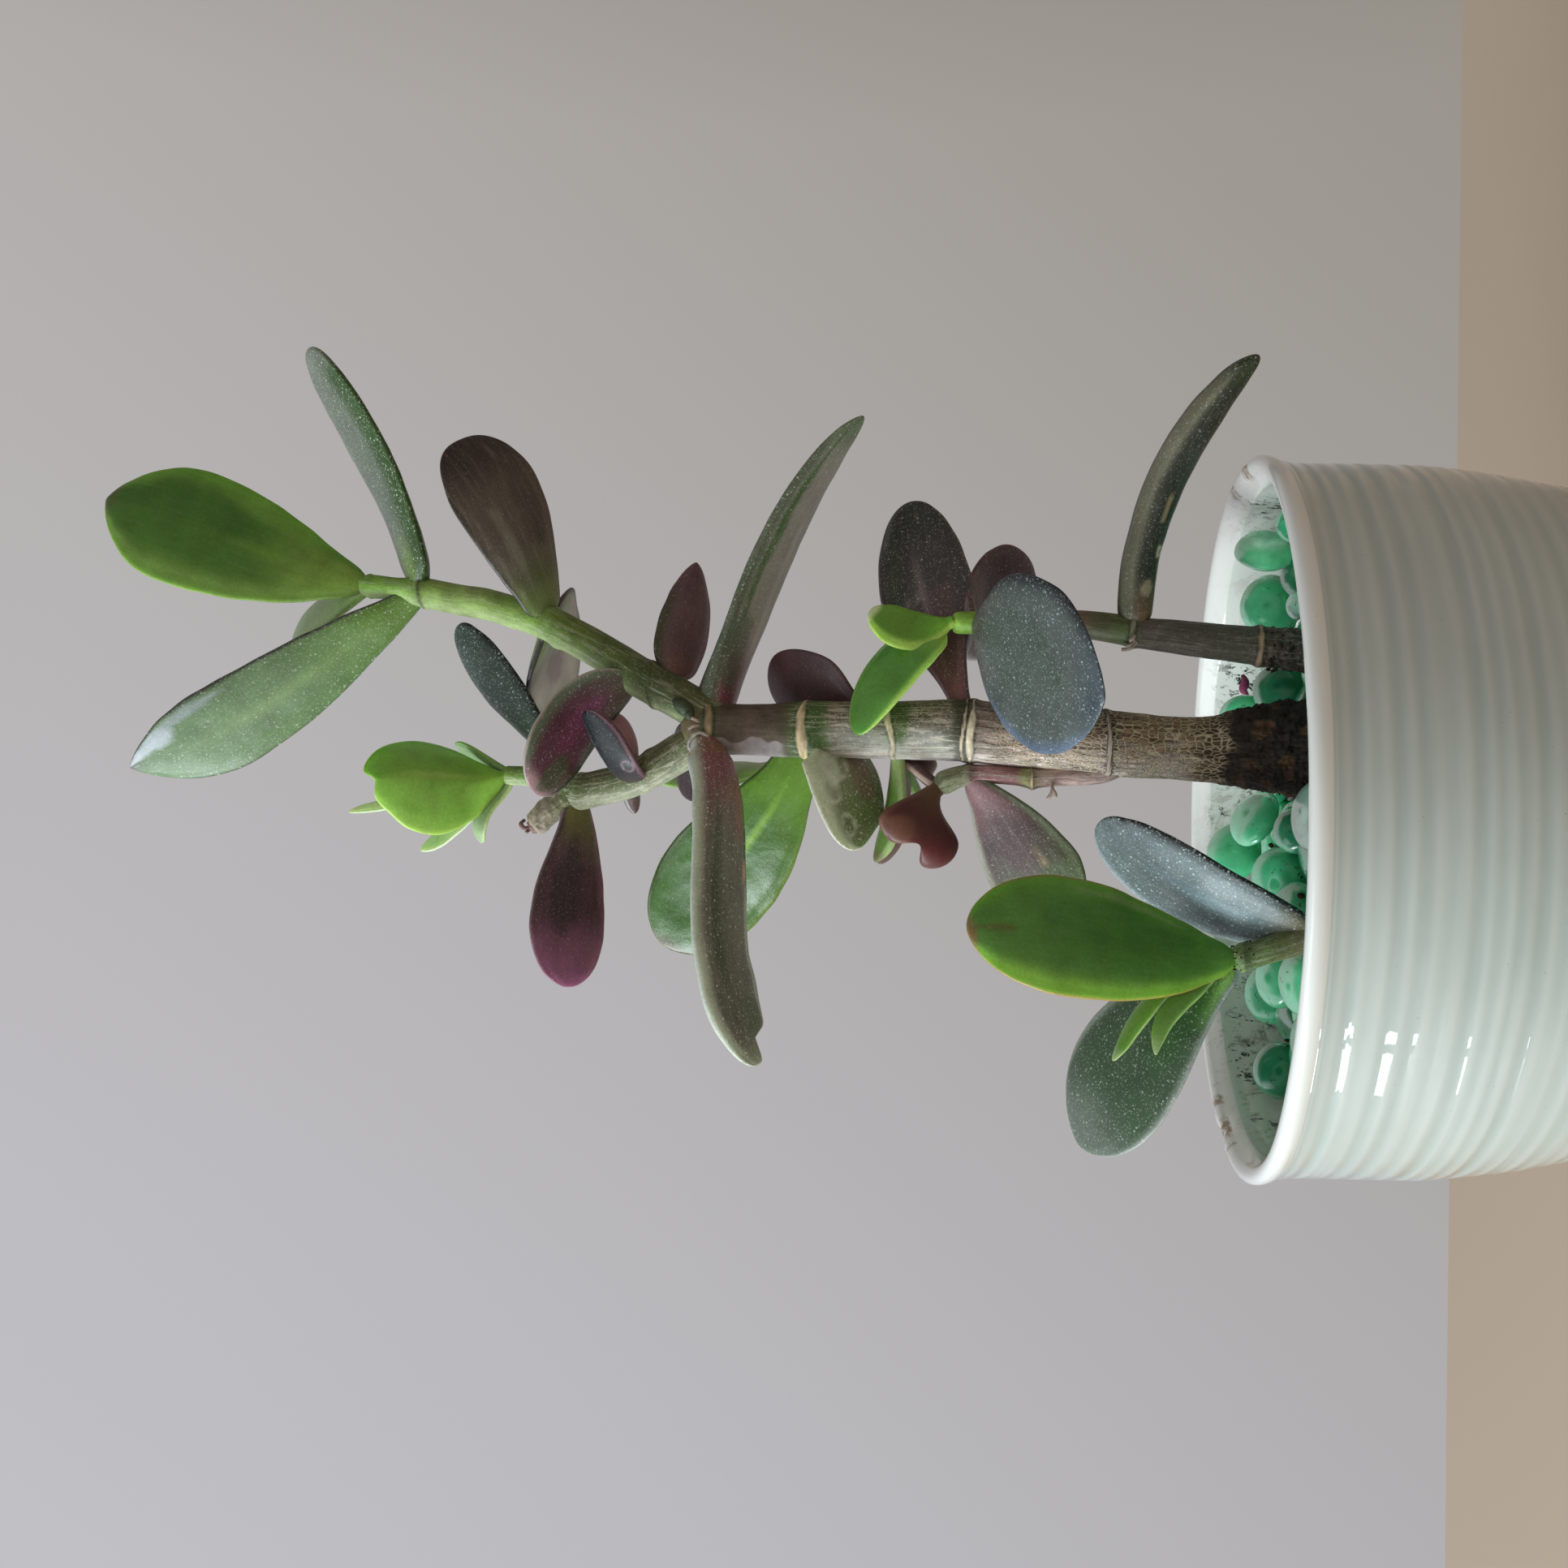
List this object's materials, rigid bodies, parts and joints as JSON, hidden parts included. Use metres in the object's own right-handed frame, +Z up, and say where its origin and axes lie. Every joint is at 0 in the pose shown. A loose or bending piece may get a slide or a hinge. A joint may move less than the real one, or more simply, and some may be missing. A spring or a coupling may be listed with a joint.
{
  "type": "potted jade plant",
  "caption": "Jade plant with thick oval leaves on woody stems, growing in soil topped with flat glass beads in a round glazed pot with throwing rings",
  "frame": {"origin": "middle of the pot's flat foot, on the table plane", "axes": "+Z up along the pot's axis; the plant's front, as pictured, faces -Y; +X to the right of that view"},
  "size_m": [0.179, 0.15, 0.3734],
  "materials": {
    "glaze": "glossy pale celadon glaze with throwing rings",
    "soil": "dark crumbly potting soil",
    "glass": "translucent green glass beads",
    "bark": "ringed, fissured bark, green where young",
    "leaf_young": "smooth bright green young leaf",
    "leaf_green": "grey-green leaf with fine pale dots",
    "leaf_blue": "dark blue-grey leaf with pale dots",
    "leaf_purple": "dark purple leaf with a soft shine",
    "leaf_bronze": "brown-purple leaf with pale veins"
  },
  "bodies": {
    "root": {"glass_beads": "glass", "leaf_bud_left": "leaf_young", "leaf_bud_low": "leaf_young", "leaf_bud_red": "leaf_purple", "leaf_crown_back": "leaf_green", "leaf_crown_front": "leaf_young", "leaf_fork_left": "leaf_purple", "leaf_fork_right": "leaf_purple", "leaf_green_left": "leaf_young", "leaf_green_upright": "leaf_young", "leaf_heart": "leaf_purple", "leaf_heart_small": "leaf_purple", "leaf_left_branch_left": "leaf_purple", "leaf_left_branch_right": "leaf_blue", "leaf_left_stem_front": "leaf_young", "leaf_left_stem_left": "leaf_green", "leaf_left_stem_right": "leaf_blue", "leaf_left_stem_young_1": "leaf_young", "leaf_left_stem_young_2": "leaf_young", "leaf_middle_back": "leaf_bronze", "leaf_middle_right": "leaf_bronze", "leaf_purple_right": "leaf_purple", "leaf_right_stem_back": "leaf_bronze", "leaf_right_stem_front": "leaf_blue", "leaf_right_stem_long": "leaf_blue", "leaf_right_stem_young_left": "leaf_young", "leaf_right_stem_young_right": "leaf_young", "leaf_shoot_folded": "leaf_young", "leaf_shoot_left": "leaf_young", "leaf_shoot_low_left": "leaf_young", "leaf_shoot_low_right": "leaf_young", "leaf_shoot_top": "leaf_young", "leaf_side_left": "leaf_bronze", "leaf_small_back": "leaf_purple", "leaf_small_left": "leaf_purple", "leaf_small_right": "leaf_blue", "leaf_speckled_left": "leaf_green", "leaf_trunk_back": "leaf_purple", "leaf_trunk_dark_right": "leaf_bronze", "leaf_trunk_long_left": "leaf_green", "leaf_trunk_long_right": "leaf_green", "leaf_upper_left": "leaf_green", "leaf_upper_right": "leaf_green", "left_stem": "bark", "pot": "glaze", "right_stem": "bark", "soil": "soil", "trunk": "bark"}
  },
  "joints": []
}
